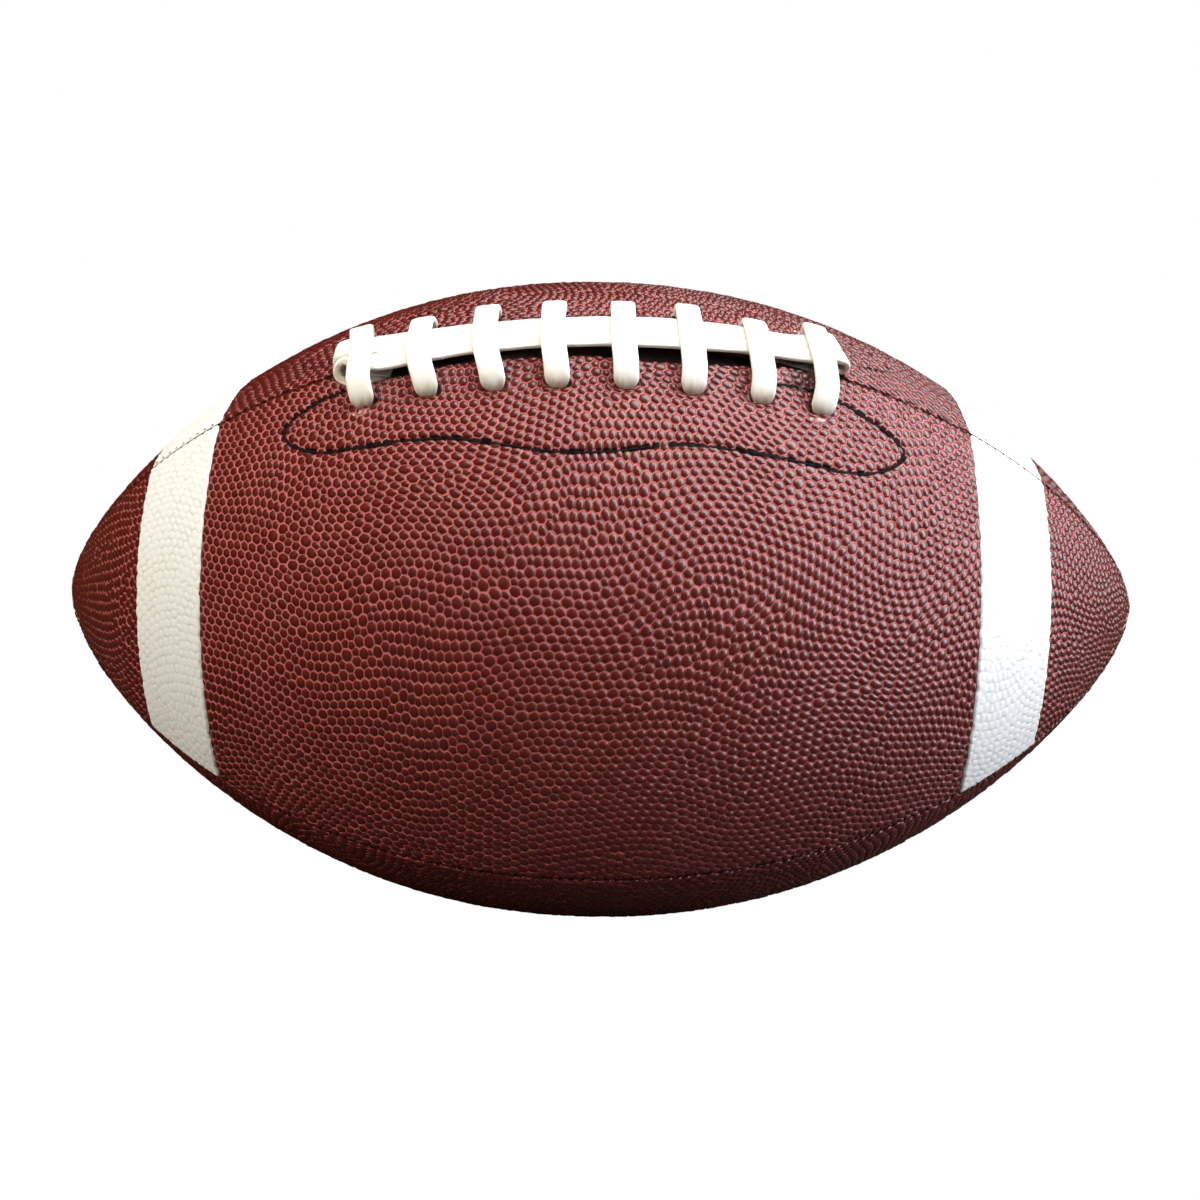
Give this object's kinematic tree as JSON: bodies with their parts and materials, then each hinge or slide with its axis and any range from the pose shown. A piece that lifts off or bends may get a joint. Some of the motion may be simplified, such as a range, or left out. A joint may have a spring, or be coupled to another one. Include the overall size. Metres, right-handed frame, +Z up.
{
  "type": "american football",
  "caption": "Laced leather american football with painted stripes, seam grooves, air bladder and needle valve.",
  "frame": {"origin": "centre of the ball's box", "axes": "+X along the ball, +Z up with the ball resting on the middle of its bottom panel, the lacing facing up and forward between -Y and +Z"},
  "size_m": [0.2848, 0.1663, 0.1663],
  "materials": {
    "leather": "pebbled, satin",
    "lining_cloth": "woven cloth",
    "stripe_paint": "white paint on pebbled leather",
    "backing_leather": "smooth split leather",
    "lace_vinyl": "satin vinyl",
    "rubber": "matt",
    "valve_rubber": "matt",
    "thread": "waxed thread"
  },
  "bodies": {
    "root": {"panel_front": "leather", "panel_top": "leather", "panel_bottom": "leather", "panel_back": "leather", "lining_front": "lining_cloth", "lining_top": "lining_cloth", "lining_bottom": "lining_cloth", "lining_back": "lining_cloth", "stripe_front_left": "stripe_paint", "stripe_front_right": "stripe_paint", "stripe_top_left": "stripe_paint", "stripe_top_right": "stripe_paint", "facing_front": "backing_leather", "facing_top": "backing_leather", "tongue": "backing_leather", "lace": "lace_vinyl", "bladder": "rubber", "valve_boot": "rubber", "valve_core": "valve_rubber", "valve_patch": "rubber", "seam_thread_lace": "thread", "seam_thread_front": "thread", "seam_thread_bottom": "thread", "seam_thread_back": "thread", "facing_thread_front": "thread", "facing_thread_top": "thread"}
  },
  "joints": []
}
